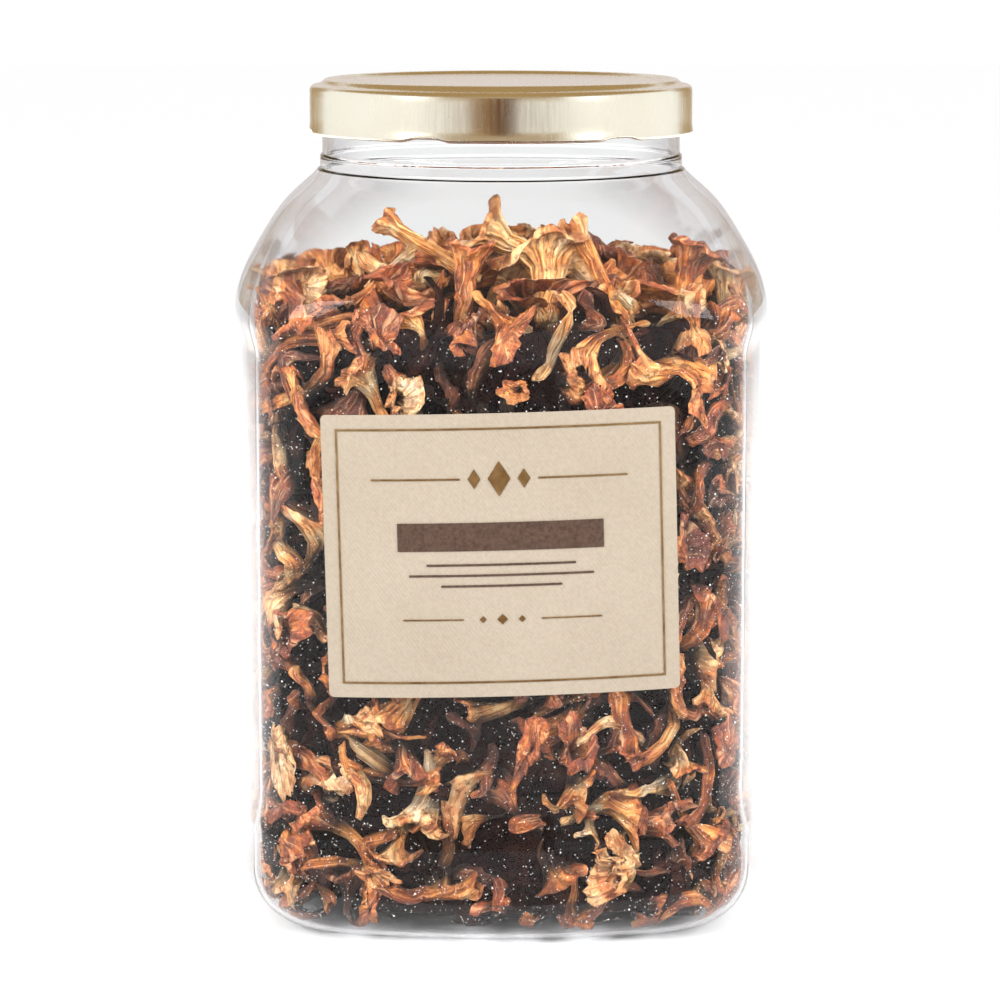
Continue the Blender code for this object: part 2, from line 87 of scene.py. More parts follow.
def smoothCurve(points, count):
    # Catmull-Rom through rows of numbers, sampled evenly by row
    points = np.array(points, dtype=float)
    padded = np.vstack((2 * points[0] - points[1], points, 2 * points[-1] - points[-2]))
    place = np.linspace(0, len(points) - 1, count)
    first = np.minimum(place.astype(int), len(points) - 2)
    t = (place - first)[:, None]
    a, b, c, d = (padded[first + k] for k in range(4))
    curved = (2 * a - 5 * b + 4 * c - d) * t ** 2
    return 0.5 * (2 * b + (c - a) * t + curved + (3 * b - a - 3 * c + d) * t ** 3)


def arcPoints(centre, radius, start, end, count):
    angles = np.radians(np.linspace(start, end, count))
    return [(centre[0] + radius * math.cos(a), centre[1] + radius * math.sin(a)) for a in angles]


def spinProfile(profile, steps):
    # turns (radius, height) points round Z into a closed skin
    form = bmesh.new()
    points = [form.verts.new((radius, 0, height)) for radius, height in profile]
    edges = [form.edges.new(pair) for pair in zip(points, points[1:])]
    if profile[0][0] > 0:
        edges.append(form.edges.new((points[-1], points[0])))
    bmesh.ops.spin(form, geom=points + edges, cent=(0, 0, 0), axis=(0, 0, 1), angle=2 * math.pi,
                   steps=steps, use_merge=True)
    bmesh.ops.remove_doubles(form, verts=form.verts, dist=0.001 * mm)
    bmesh.ops.recalc_face_normals(form, faces=form.faces)
    return form


# The jar's section and outline, the same sizes as the solid's
jar = {
    "wall": 1.2 * mm,
    "panelHalf": 76.9 * mm,
    "bumpHalf": 78.7 * mm,
    "faceRadius": 220 * mm,
    "cornerRadius": 24 * mm,
    "baseFillet": 20 * mm,
    "footInner": 46 * mm,
    "pushUp": 3 * mm,
    "neckRadius": 52.8 * mm,
    "ringRadius": 53.5 * mm,
    "rimHeight": 241.6 * mm,
    "pointsPerEighth": 14,
    "sideShare": 0.5,
    "sideAngle": math.radians(14.3),
}


def sectionRing(half, roundness, height):
    # one plan section of the jar: bulged sides and round corners, or a circle at roundness 1
    side = (1 - roundness) * jar["faceRadius"] * half / jar["bumpHalf"] + roundness * half
    corner = (1 - roundness) * jar["cornerRadius"] * half / jar["bumpHalf"] + roundness * half
    offset = side - half
    centre = (math.sqrt(max(2 * (side - corner) ** 2 - offset ** 2, 0)) - offset) / 2
    count = jar["pointsPerEighth"]
    share = np.arange(count + 1) / count
    square = np.interp(share, (0, jar["sideShare"], 1), (0, jar["sideAngle"], math.radians(45)))
    angle = (1 - roundness) * square + roundness * math.radians(45) * share
    onSide = angle <= math.atan2(centre, centre + offset)
    if roundness > 0.999:
        onSide[:] = False
        centre = 0
    along = np.where(onSide, half - side + side * np.cos(angle), centre + corner * np.cos(angle))
    across = np.where(onSide, side * np.sin(angle), centre + corner * np.sin(angle))
    quarter = np.concatenate((along + 1j * across, (across + 1j * along)[::-1][1:]))
    ring = np.concatenate([quarter[:-1] * 1j ** k for k in range(4)])
    ring = np.append(ring, ring[0])
    return np.stack((ring.real, ring.imag, np.full(len(ring), height)), axis=1)


def sectionReach(half, azimuth):
    # distance from the axis to the square section, for arrays of half-widths and directions
    side = jar["faceRadius"] * half / jar["bumpHalf"]
    corner = jar["cornerRadius"] * half / jar["bumpHalf"]
    offset = half - side
    centre = (np.sqrt(2 * (side - corner) ** 2 - offset ** 2) + offset) / 2
    fold = np.abs((azimuth + math.pi / 4) % (math.pi / 2) - math.pi / 4)
    flat = offset * np.cos(fold) + np.sqrt(side ** 2 - (offset * np.sin(fold)) ** 2)
    bearing = np.arctan2(flat * np.sin(fold), flat * np.cos(fold) - offset)
    onSide = bearing <= np.arctan2(centre, centre - offset)
    spread = centre * (np.cos(fold) + np.sin(fold))
    atCorner = spread + np.sqrt(np.maximum(spread ** 2 - 2 * centre ** 2 + corner ** 2, 0))
    return np.where(onSide, flat, atCorner)


def shoulderOutline():
    # (height, half-width, roundness) from under the neck ring to the foot ring
    return [
        (218.8 * mm, 54.1 * mm, 1),
        (217 * mm, 55.7 * mm, 0.97),
        (208.9 * mm, 64.3 * mm, 0.72),
        (197.8 * mm, 71.7 * mm, 0.38),
        (187.6 * mm, 76.9 * mm, 0.1),
        (179 * mm, jar["bumpHalf"], 0),
        (170 * mm, jar["panelHalf"], 0),
        (163 * mm, jar["panelHalf"], 0),
    ]


def baseOutline():
    return [
        (46 * mm, jar["panelHalf"], 0),
        (39 * mm, jar["panelHalf"], 0),
        (30 * mm, jar["bumpHalf"] - 0.05 * mm, 0),
        (24 * mm, jar["bumpHalf"], 0),
        (20 * mm, jar["bumpHalf"], 0),
    ]


def jarOutline():
    rim = jar["rimHeight"]
    neck = jar["neckRadius"]
    ring = jar["ringRadius"]
    outline = [(rim, neck - 0.5 * mm, 1), (rim - 0.15 * mm, neck - 0.15 * mm, 1), (rim - 0.5 * mm, neck, 1)]
    outline += [(height * mm, neck, 1) for height in (238, 234, 230, 226, 223.4)]
    outline += [(height * mm, ring - inset * mm, 1)
                for height, inset in ((223.2, 0.62), (222.92, 0.34), (222.66, 0.07), (221.5, 0), (220, 0),
                                      (219.5, 0.06), (219.12, 0.02))]
    outline += [tuple(row) for row in smoothCurve(shoulderOutline(), 43)]
    outline += [(height * mm, jar["panelHalf"], 0) for height in range(155, 50, -8)]
    outline += [tuple(row) for row in smoothCurve(baseOutline(), 21)]
    fillet = jar["baseFillet"]
    for angle in np.radians(np.linspace(7.5, 90, 12)):
        outline.append((fillet * (1 - math.sin(angle)), jar["bumpHalf"] - fillet * (1 - math.cos(angle)), 0))
    inner = jar["footInner"]
    lift = jar["pushUp"]
    outline += [(0, inner, 0.2), (0.25 * lift, inner * 0.93, 0.4), (0.75 * lift, inner * 0.78, 0.7)]
    outline += [(0.95 * lift, inner * 0.62, 0.9), (lift, inner * 0.4, 1), (lift, inner * 0.2, 1)]
    outline.append((lift, 1e-6, 1))
    return [(height, min(half, jar["bumpHalf"]), roundness) for height, half, roundness in outline]


# Materials

class Paint:
    # a material with one Principled shader, and short calls for the nodes that feed it

    def __init__(self, name):
        self.material = bpy.data.materials.new(name)
        self.material.use_nodes = True
        self.nodes = self.material.node_tree.nodes
        self.links = self.material.node_tree.links
        self.shader = self.nodes["Principled BSDF"]

    def fill(self, node, values):
        for name, value in values.items():
            if hasattr(value, "links"):
                self.links.new(value, node.inputs[name])
            else:
                node.inputs[name].default_value = value

    def put(self, name, value):
        self.fill(self.shader, {name: value})

    def place(self, scale=(1, 1, 1), turn=(0, 0, 0)):
        coordinates = self.nodes.new("ShaderNodeTexCoord").outputs["Object"]
        mapping = self.nodes.new("ShaderNodeMapping")
        self.fill(mapping, {"Vector": coordinates, "Scale": scale, "Rotation": turn})
        return mapping.outputs["Vector"]

    def attribute(self, name):
        node = self.nodes.new("ShaderNodeAttribute")
        node.attribute_name = name
        return node.outputs

    def noise(self, vector, scale, detail=3, roughness=0.55, distortion=0):
        node = self.nodes.new("ShaderNodeTexNoise")
        self.fill(node, {"Vector": vector, "Scale": scale, "Detail": detail, "Roughness": roughness,
                         "Distortion": distortion})
        return node.outputs["Fac"]

    def ramp(self, source, stops):
        node = self.nodes.new("ShaderNodeValToRGB")
        elements = node.color_ramp.elements
        while len(elements) < len(stops):
            elements.new(0.5)
        for element, (place, colour) in zip(elements, stops):
            element.position = place
            element.color = (*colour, 1)
        self.fill(node, {"Fac": source})
        return node.outputs["Color"]

    def mix(self, factor, first, second):
        node = self.nodes.new("ShaderNodeMix")
        node.data_type = "RGBA"
        self.fill(node, {0: factor, 6: first, 7: second})
        return node.outputs[2]

    def math(self, operation, first, second):
        node = self.nodes.new("ShaderNodeMath")
        node.operation = operation
        self.fill(node, {0: first, 1: second})
        return node.outputs[0]

    def range(self, source, low, high, newLow, newHigh):
        node = self.nodes.new("ShaderNodeMapRange")
        self.fill(node, {"Value": source, "From Min": low, "From Max": high, "To Min": newLow,
                         "To Max": newHigh})
        return node.outputs["Result"]

    def bump(self, height, strength, distance, normal=None):
        node = self.nodes.new("ShaderNodeBump")
        self.fill(node, {"Height": height, "Strength": strength, "Distance": distance})
        if normal:
            self.fill(node, {"Normal": normal})
        return node.outputs["Normal"]


def clearPlastic():
    # its index is set low, so that the dark gaps behind the wall stay clear of reflections
    paint = Paint("clearPlastic")
    facing = paint.nodes.new("ShaderNodeLayerWeight")
    facing.inputs["Blend"].default_value = 0.35
    # painted shade: the wall's colour darkens from clear to grey towards its grazing edges
    paintedEdgeShadeStops = ((0.24, (0.935, 0.94, 0.94)), (0.5, (0.66, 0.64, 0.65)))
    paint.put("Base Color", paint.ramp(facing.outputs["Facing"], paintedEdgeShadeStops))
    paint.put("Transmission Weight", 1)
    paint.put("IOR", 1.27)
    haze = paint.noise(paint.place(), 60)
    paint.put("Roughness", paint.range(haze, 0.3, 0.7, 0.02, 0.06))
    sag = paint.noise(paint.place((1, 1, 0.4)), 45, 1)
    paint.put("Normal", paint.bump(sag, 0.1, 0.5 * mm))
    path = paint.nodes.new("ShaderNodeLightPath")
    passing = paint.nodes.new("ShaderNodeBsdfTransparent")
    passing.inputs["Color"].default_value = (0.97, 0.975, 0.98, 1)
    mix = paint.nodes.new("ShaderNodeMixShader")
    paint.links.new(path.outputs["Is Shadow Ray"], mix.inputs[0])
    paint.links.new(paint.shader.outputs[0], mix.inputs[1])
    paint.links.new(passing.outputs[0], mix.inputs[2])
    paint.links.new(mix.outputs[0], paint.nodes["Material Output"].inputs["Surface"])
    return paint.material


def goldLacquer():
    paint = Paint("goldLacquer")
    place = paint.place((1, 1, 0.06))
    streaks = paint.noise(place, 900, 4, 0.6)
    cloud = paint.noise(paint.place(), 40)
    colour = paint.ramp(cloud, ((0.3, (0.87, 0.82, 0.67)), (0.7, (0.91, 0.87, 0.74))))
    paint.put("Base Color", colour)
    paint.put("Metallic", 1)
    paint.put("Roughness", paint.range(streaks, 0.3, 0.7, 0.2, 0.3))
    paint.put("Normal", paint.bump(streaks, 0.08, 0.05 * mm))
    paint.put("Coat Weight", 0.4)
    paint.put("Coat Roughness", 0.15)
    return paint.material


def sealingCompound():
    paint = Paint("sealingCompound")
    cloud = paint.noise(paint.place(), 300)
    paint.put("Base Color", paint.ramp(cloud, ((0.3, (0.62, 0.6, 0.56)), (0.7, (0.75, 0.73, 0.69)))))
    paint.put("Roughness", 0.55)
    paint.put("Normal", paint.bump(cloud, 0.3, 0.1 * mm))
    return paint.material


def linenPaper():
    # beige label stock with a fine diagonal emboss
    paint = Paint("linenPaper")
    wave = paint.nodes.new("ShaderNodeTexWave")
    wave.bands_direction = "X"
    paint.fill(wave, {"Vector": paint.place(turn=(0, math.radians(38), 0)), "Scale": 330, "Distortion": 1.2,
                      "Detail": 2, "Detail Scale": 3})
    fibre = paint.noise(paint.place(), 900, 5, 0.65)
    cloud = paint.noise(paint.place(), 35)
    base = paint.ramp(cloud, ((0.3, (0.262, 0.217, 0.165)), (0.7, (0.284, 0.238, 0.184))))
    grain = paint.mix(paint.range(wave.outputs["Fac"], 0, 1, 0, 0.14), base, (0.33, 0.25, 0.17, 1))
    paint.put("Base Color", paint.mix(paint.range(fibre, 0.35, 0.65, 0, 0.12), grain, (0.58, 0.5, 0.4, 1)))
    paint.put("Roughness", 0.72)
    relief = paint.math("ADD", wave.outputs["Fac"], fibre)
    paint.put("Normal", paint.bump(relief, 0.35, 0.12 * mm))
    return paint.material


def goldFoil():
    paint = Paint("goldFoil")
    cloud = paint.noise(paint.place(), 260, 4)
    paint.put("Base Color", paint.ramp(cloud, ((0.3, (0.62, 0.40, 0.15)), (0.7, (0.95, 0.72, 0.38)))))
    paint.put("Metallic", 1)
    paint.put("Roughness", paint.range(cloud, 0.3, 0.7, 0.38, 0.6))
    return paint.material


def brownInk():
    paint = Paint("brownInk")
    fibre = paint.noise(paint.place(), 900, 5, 0.65)
    paint.put("Base Color", paint.ramp(fibre, ((0.35, (0.045, 0.022, 0.014)), (0.7, (0.09, 0.05, 0.033)))))
    paint.put("Roughness", 0.6)
    return paint.material


def driedFlesh():
    # tint: tone of the whole piece, ridge against furrow, stem 0 to rim 0.5 to top side 1, depth in the heap;
    # the ridge and the depth darken the colour as painted shade
    # fibre: runs round and along each piece, so that furrows follow it
    paint = Paint("driedFlesh")
    tint = paint.attribute("tint")
    parts = paint.nodes.new("ShaderNodeSeparateColor")
    paint.fill(parts, {0: tint["Color"]})
    tone, ridge, zone = parts.outputs[0], parts.outputs[1], parts.outputs[2]
    strand = paint.attribute("fibre")["Vector"]
    place = paint.place()
    patches = paint.noise(place, 150, 4, 0.6)
    grain = paint.noise(place, 1100, 4, 0.65)
    furrows = paint.noise(strand, 1, 3, 0.6, 0.5)
    crinkle = paint.noise(place, 420, 3, 0.6)
    mixed = paint.math("ADD", paint.math("MULTIPLY", tone, 0.75), paint.range(patches, 0.28, 0.72, -0.22, 0.42))
    under = paint.ramp(mixed, (
        (0.0, (0.06, 0.018, 0.016)), (0.2, (0.2, 0.045, 0.02)), (0.38, (0.5, 0.125, 0.022)),
        (0.55, (0.7, 0.26, 0.055)), (0.72, (0.78, 0.44, 0.17)), (0.88, (0.84, 0.6, 0.34)),
        (1.0, (0.86, 0.68, 0.46))))
    over = paint.ramp(mixed, (
        (0.0, (0.06, 0.02, 0.02)), (0.25, (0.18, 0.045, 0.028)), (0.45, (0.4, 0.09, 0.03)),
        (0.65, (0.58, 0.21, 0.065)), (0.85, (0.72, 0.42, 0.19)), (1.0, (0.8, 0.57, 0.35))))
    topSide = paint.range(zone, 0.5, 0.62, 0, 1)
    colour = paint.mix(topSide, under, over)
    # painted shade: furrows, gill valleys and crinkles go dark brown, where shade falls in them
    paintedFurrowShade = paint.math("MULTIPLY", paint.range(furrows, 0.42, 0.54, 1, 0),
                          paint.range(patches, 0.35, 0.6, 0.95, 0.5))
    paintedCreaseShade = paint.math("MAXIMUM", paint.range(ridge, 0.1, 0.7, 0.8, 0), paintedFurrowShade)
    paintedCreaseShade = paint.math("MAXIMUM", paintedCreaseShade, paint.range(crinkle, 0.36, 0.46, 0.75, 0))
    # painted highlight: the crests between the furrows are lightened to pale orange
    paintedRidgeHighlight = paint.range(furrows, 0.53, 0.66, 0, 0.42)
    colour = paint.mix(paintedRidgeHighlight, colour, (0.95, 0.6, 0.29, 1))
    # the painted shade of the furrows, gill valleys and crinkles is mixed in here
    colour = paint.mix(paintedCreaseShade, colour, (0.09, 0.02, 0.008, 1))
    rim = paint.math("MULTIPLY", paint.range(zone, 0.40, 0.5, 0, 1), paint.range(zone, 0.5, 0.6, 1, 0))
    rimShare = paint.math("MULTIPLY", rim, 0.4)
    colour = paint.mix(rimShare, colour, (0.28, 0.07, 0.02, 1))
    speckle = paint.range(grain, 0.55, 0.75, 0, 0.3)
    colour = paint.mix(speckle, colour, (0.66, 0.5, 0.32, 1))
    # painted shade: the colour goes near-black with depth in the heap, where little light reaches
    paintedDepthShade = paint.range(tint["Alpha"], 0.08, 0.36, 0, 0.97)
    paint.put("Base Color", paint.mix(paintedDepthShade, colour, (0.008, 0.004, 0.003, 1)))
    paint.put("Roughness", paint.range(patches, 0.3, 0.7, 0.42, 0.68))
    paint.put("Specular IOR Level", 0.3)
    fine = paint.bump(grain, 0.5, 0.3 * mm)
    creased = paint.bump(crinkle, 0.8, 0.9 * mm, fine)
    paint.put("Normal", paint.bump(furrows, 1, 1.1 * mm, creased))
    return paint.material


def heapShade():
    # painted shade: a near-black colour for the pieces that lie deeper in the heap, where little light comes
    paint = Paint("heapShade")
    strand = paint.attribute("fibre")["Vector"]
    furrows = paint.noise(strand, 1, 3, 0.6)
    patches = paint.noise(paint.place(), 120, 4, 0.6)
    mixed = paint.math("MULTIPLY", furrows, patches)
    stops = ((0.15, (0.006, 0.003, 0.003)), (0.32, (0.03, 0.011, 0.008)), (0.45, (0.085, 0.034, 0.02)))
    paint.put("Base Color", paint.ramp(mixed, stops))
    paint.put("Roughness", 0.9)
    paint.put("Specular IOR Level", 0)
    paint.put("Normal", paint.bump(furrows, 0.8, 1 * mm))
    return paint.material


def paleCrumb():
    paint = Paint("paleCrumb")
    grain = paint.noise(paint.place(), 700)
    paint.put("Base Color", paint.ramp(grain, ((0.35, (0.8, 0.7, 0.6)), (0.6, (0.95, 0.92, 0.88)))))
    paint.put("Roughness", 0.7)
    return paint.material


def cardPaint(name, colour):
    paint = Paint(name)
    paint.put("Base Color", (0, 0, 0, 1))
    paint.put("Specular IOR Level", 0)
    paint.put("Emission Color", colour)
    paint.put("Emission Strength", 1)
    return paint.material


def floorWhite():
    paint = Paint("floorWhite")
    paint.put("Base Color", (0.96, 0.96, 0.96, 1))
    paint.put("Roughness", 0.8)
    return paint.material


# Jar

def buildJar(material):
    outline = jarOutline()
    rings = np.array([sectionRing(half, roundness, height) for height, half, roundness in outline])
    form = gridForm(rings.shape[1] - 1, rings.shape[0] - 1, rings)
    shell = addObject("jarShell", form)
    top = max(shell.data.polygons, key=lambda face: face.center.z)
    if top.normal.dot(Vector((top.center.x, top.center.y, 0))) < 0:
        shell.data.flip_normals()
    wall = shell.modifiers.new("wall", "SOLIDIFY")
    wall.thickness = jar["wall"]
    wall.offset = -1
    wall.use_even_offset = True
    finishPiece(shell, "jar", [material], "jar")
    print("jar shell", len(shell.data.polygons))


threads = {
    "starts": 6,
    "radius": 54.6 * mm,
    "arc": math.radians(35),
    "low": 231.0 * mm,
    "thickness": 1.8 * mm,
    "climb": 2 * mm / math.radians(40),
    "steps": 28,
    "sides": 10,
}


def buildThreads(material):
    form = bmesh.new()
    depth = threads["radius"] - jar["neckRadius"]
    for start in range(threads["starts"]):
        share = np.linspace(0, 1, threads["steps"] + 1)[:, None]
        turn = np.linspace(0, 2 * math.pi, threads["sides"] + 1)[None, :]
        size = np.sqrt(np.clip(np.sin(share * math.pi) * 4, 0, 1))
        angle = 2 * math.pi / threads["starts"] * start + threads["arc"] * share + 0 * turn
        radius = jar["neckRadius"] - 0.3 * mm + (depth + 0.3 * mm) * size * (0.5 + 0.5 * np.cos(turn))
        height = threads["low"] + threads["climb"] * threads["arc"] * share
        height = height + threads["thickness"] * (0.5 + 0.5 * size * np.sin(turn))
        points = np.stack((radius * np.cos(angle), radius * np.sin(angle), height), axis=2)
        one = gridForm(threads["sides"], threads["steps"], points)
        bmesh.ops.holes_fill(one, edges=one.edges, sides=0)
        mesh = bpy.data.meshes.new("thread")
        one.to_mesh(mesh)
        one.free()
        form.from_mesh(mesh)
        bpy.data.meshes.remove(mesh)
    bmesh.ops.recalc_face_normals(form, faces=form.faces)
    finishPiece(addObject("neckThreads", form), "jar", [material])
    print("neck threads")


# Lid and its seal
lid = {
    "radius": 56.75 * mm,
    "skirt": 56.45 * mm,
    "sheet": 0.45 * mm,
    "bottom": 229 * mm,
    "top": 245 * mm,
    "panelTop": 244.1 * mm,
    "panelRadius": 47.9 * mm,
    "steps": 216,
    "curlTop": 230.9 * mm,
    "curlFade": 1.2 * mm,
    "outerFrom": 55.9 * mm,
    "lugs": 6,
    "lugAt": math.radians(7.5),
    "lugArc": math.radians(13),
    "lugPress": 2.6 * mm,
    "lugLift": 0.9 * mm,
    "liftFade": 3.4 * mm,
}


def lidProfile():
    outer = [(0, lid["panelTop"]), (20 * mm, lid["panelTop"]), (40 * mm, lid["panelTop"])]
    outer += arcPoints((lid["panelRadius"], lid["panelTop"] + 0.8 * mm), 0.8 * mm, 270, 318, 5)
    outer += arcPoints((51.1 * mm, lid["top"] - 2 * mm), 2 * mm, 140, 35, 9)
    outer += [(53.5 * mm, lid["top"] - 1.35 * mm), (54.3 * mm, lid["top"] - 1.65 * mm)]
    outer += arcPoints((54.75 * mm, lid["top"] - 3.4 * mm), 1.7 * mm, 82, 4, 8)
    outer += [(lid["skirt"], height * mm) for height in (240, 237, 234, 232.2)]
    curl = 0.8 * mm
    outer += arcPoints((lid["radius"] - curl, lid["bottom"] + curl), curl, 30, -180, 12)
    outer += [(55.2 * mm, 230.5 * mm), (55.5 * mm, 231.2 * mm), (lid["skirt"] - lid["sheet"], 232.2 * mm)]
    inner = [(lid["skirt"] - lid["sheet"], 240 * mm)]
    inner += [(radius * mm, height * mm) for radius, height in (
        (55.6, 242.2), (54.2, 242.95), (53.2, 243.3), (52.3, 244.1), (51.1, 244.5), (49.9, 244.2),
        (48.7, 243.7), (47.5, 243.6), (20, 243.6), (0, 243.6))]
    return outer + inner


def pressLugs(form):
    # the curl is pushed in and up at each lug, which makes the lower edge wavy
    for vertex in form.verts:
        low = min(1, max(0, (lid["curlTop"] - vertex.co.z) / lid["curlFade"]))
        if low == 0:
            continue
        azimuth = math.atan2(vertex.co.y, vertex.co.x) - lid["lugAt"]
        pitch = 2 * math.pi / lid["lugs"]
        away = abs((azimuth + pitch / 2) % pitch - pitch / 2) / (lid["lugArc"] / 2)
        press = low * (0.5 + 0.5 * math.cos(math.pi * min(1, max(0, (away - 0.45) / 0.75))))
        radius = math.hypot(vertex.co.x, vertex.co.y)
        inward = 1 - press * lid["lugPress"] * (0.08 if radius > lid["outerFrom"] else 0.8) / radius
        vertex.co.x *= inward
        vertex.co.y *= inward
        vertex.co.z += press * lid["lugLift"] * (1 - (vertex.co.z - lid["bottom"]) / lid["liftFade"])


def buildLid(material):
    form = spinProfile(lidProfile(), lid["steps"])
    pressLugs(form)
    finishPiece(addObject("lidCap", form), "lid", [material], "lid")
    print("lid")


def buildSeal(material):
    low = jar["rimHeight"] + 0.3 * mm
    profile = [(50.9 * mm, low)] + arcPoints((51.4 * mm, 242.95 * mm), 0.6 * mm, 180, 90, 4)
    profile += [(52.6 * mm, 243.45 * mm)] + arcPoints((53.5 * mm, 242.6 * mm), 0.45 * mm, 70, 0, 4)
    profile += arcPoints((53.6 * mm, low + 0.35 * mm), 0.35 * mm, 0, -90, 4)
    profile += [(52.3 * mm, low + 0.12 * mm)]
    form = spinProfile(profile[::-1], 144)
    finishPiece(addObject("sealRing", form), "seal", [material], "lid_seal")
    print("seal")


# Label
label = {
    "width": 99.5 * mm,
    "height": 80.6 * mm,
    "middle": 115.1 * mm,
    "tilt": math.radians(1.5),
    "paper": 0.22 * mm,
    "lift": 0.08 * mm,
    "corner": 1.4 * mm,
    "inset": 4 * mm,
    "line": 0.55 * mm,
    "upperRule": 21.85 * mm,
    "lowerRule": -18.1 * mm,
    "ink": 0.03 * mm,
}


def ontoPanel(form, lift):
    # wraps flat label coordinates (x across, y up) round the bulged front panel
    centre = jar["faceRadius"] * jar["panelHalf"] / jar["bumpHalf"] - jar["panelHalf"]
    radius = centre + jar["panelHalf"] + lift
    tilt = label["tilt"]
    for vertex in form.verts:
        x, y = vertex.co.x, vertex.co.y
        across = x * math.cos(tilt) - y * math.sin(tilt)
        up = x * math.sin(tilt) + y * math.cos(tilt)
        height = vertex.co.z
        depth = math.sqrt((radius + height) ** 2 - across ** 2) - centre
        vertex.co = Vector((across, -depth, label["middle"] + up))
    bmesh.ops.recalc_face_normals(form, faces=form.faces)


def thicken(form, thickness):
    bmesh.ops.recalc_face_normals(form, faces=form.faces)
    bmesh.ops.solidify(form, geom=form.faces, thickness=thickness)
    bmesh.ops.recalc_face_normals(form, faces=form.faces)


def stripForm(form, x0, x1, y0, y1, cell=2 * mm):
    columns = max(1, round((x1 - x0) / cell))
    rows = max(1, round((y1 - y0) / (4 * cell)))
    move = Matrix.Translation(((x0 + x1) / 2, (y0 + y1) / 2, 0)) @ Matrix.Diagonal(
        ((x1 - x0) / 2, (y1 - y0) / 2, 1, 1))
    bmesh.ops.create_grid(form, x_segments=columns, y_segments=rows, size=1, matrix=move)


def diamondForm(form, x, y, width, height):
    move = Matrix.Translation((x, y, 0)) @ Matrix.Diagonal((width / 2, height / 2, 1, 1))
    bmesh.ops.create_circle(form, cap_ends=True, segments=4, radius=1, matrix=move)


def buildLabel(paper, foil, ink):
    half = Vector((label["width"] / 2, label["height"] / 2))
    form = bmesh.new()
    bmesh.ops.create_grid(form, x_segments=60, y_segments=40, size=1,
                          matrix=Matrix.Diagonal((half.x, half.y, 1, 1)))
    corners = [vertex for vertex in form.verts if len(vertex.link_edges) == 2]
    bmesh.ops.bevel(form, geom=corners, offset=label["corner"], segments=4, profile=0.5,
                    affect="VERTICES", material=-1)
    thicken(form, label["paper"])
    ontoPanel(form, label["lift"])
    finishPiece(addObject("paperLabel", form), "jar", [paper], "label", sharp=40)

    gold = bmesh.new()
    line = label["line"]
    x, y = half.x - label["inset"], half.y - label["inset"]
    border = ((-x, x, y - line, y), (-x, x, -y, -y + line), (-x, -x + line, -y, y), (x - line, x, -y, y))
    for sides in border:
        stripForm(gold, *sides)
    for side in (-1, 1):
        stripForm(gold, *sorted((side * 11 * mm, side * 36 * mm)), 21.6 * mm, 22.1 * mm)
        stripForm(gold, *sorted((side * 11 * mm, side * 28 * mm)), -18.3 * mm, -17.9 * mm)
        diamondForm(gold, side * 7 * mm, label["upperRule"], 3.6 * mm, 5.6 * mm)
        diamondForm(gold, side * 5.5 * mm, label["lowerRule"], 2 * mm, 2 * mm)
    diamondForm(gold, 0, label["upperRule"], 6.4 * mm, 10 * mm)
    diamondForm(gold, 0, label["lowerRule"], 3 * mm, 3 * mm)
    thicken(gold, label["ink"])
    ontoPanel(gold, label["lift"] + label["paper"] + label["ink"])
    finishPiece(addObject("labelFoil", gold), "jar", [foil], sharp=30)

    dark = bmesh.new()
    stripForm(dark, -29 * mm, 29 * mm, 1.5 * mm, 9.5 * mm)
    for width, height in ((21, -2.5), (26, -5.5), (17, -8.5)):
        stripForm(dark, -width * mm, width * mm, height * mm - 0.3 * mm, height * mm + 0.3 * mm)
    thicken(dark, label["ink"])
    ontoPanel(dark, label["lift"] + label["paper"] + label["ink"])
    finishPiece(addObject("labelBands", dark), "jar", [ink], sharp=30)
    print("label")


# Dried chanterelles
heap = {
    "seed": 77,
    "floor": 5.2 * mm,
    "levels": [4.5 * mm, 41 * mm, 77 * mm, 113 * mm, 149 * mm, 230 * mm],
    "edge": 183 * mm,
    "crown": 196 * mm,
    "rise": 4 * mm,
    "wallGap": 0.25 * mm,
    "around": 40,
    "along": 17,
    "roughAround": 20,
    "roughAlong": 10,
    "columns": 46,
    "rows": 16,
    "topPieces": 110,
    "topRadius": 70 * mm,
    "topTurn": math.radians(137.5),
    "backingColumns": 26,
    "backingRows": 11,
    "backingMargin": 4 * mm,
    # each kind's share of a mushroom's full size
    "wallSize": 0.93,
    "backingSize": 1.15,
    "topSize": 1.08,
    "coreHalf": 58 * mm,
    "coreAround": 48,
    "coreAlong": 8,
    # depth in the heap over which the pieces darken to painted shade
    "paintedShadeDepth": 17 * mm,
    "standingAround": 56,
    "standingAlong": 25,
    # (stem's foot, top, cap radius, stem's share of it, gills, tone) of the pieces that stand out, in mm
    "standing": [
        ((-6, -50, 190), (-35, -40, 207), 3.4, 0.55, 7, 0.72),
        ((13, -60, 178), (13, -42, 200), 13.5, 0.26, 12, 0.8),
        ((36, -58, 176), (20, -46, 207), 4.2, 0.5, 8, 0.6),
        ((-12, -58, 176), (-8, -52, 201), 7, 0.4, 11, 0.34),
        ((50, -36, 180), (57, -30, 199), 9, 0.3, 12, 0.3),
    ],
}


def smoothStep(value, low, high):
    t = np.clip((value - low) / (high - low), 0, 1)
    return t * t * (3 - 2 * t)


def wrinkles(draw, points, size, amount):
    # a few random waves added together stand for the creases of drying
    shift = np.zeros(points.shape[:-1])
    for octave in range(5):
        direction = np.array([draw.gauss(0, 1) for k in range(3)])
        direction *= 2 * math.pi / size / max(0.4, np.linalg.norm(direction)) * (1 + 0.45 * octave)
        shift += np.sin(points @ direction + draw.uniform(0, 6.28)) / (1 + 0.5 * octave)
    return shift * amount


def shapeGrid(around, along):
    # the angle and the share of the length at each point of a shape, with the seam's column twice
    turn, share = np.meshgrid(np.linspace(0, 2 * math.pi, around + 1), np.linspace(0, 1, along + 1))
    turn[:, -1] = 0
    return turn, share


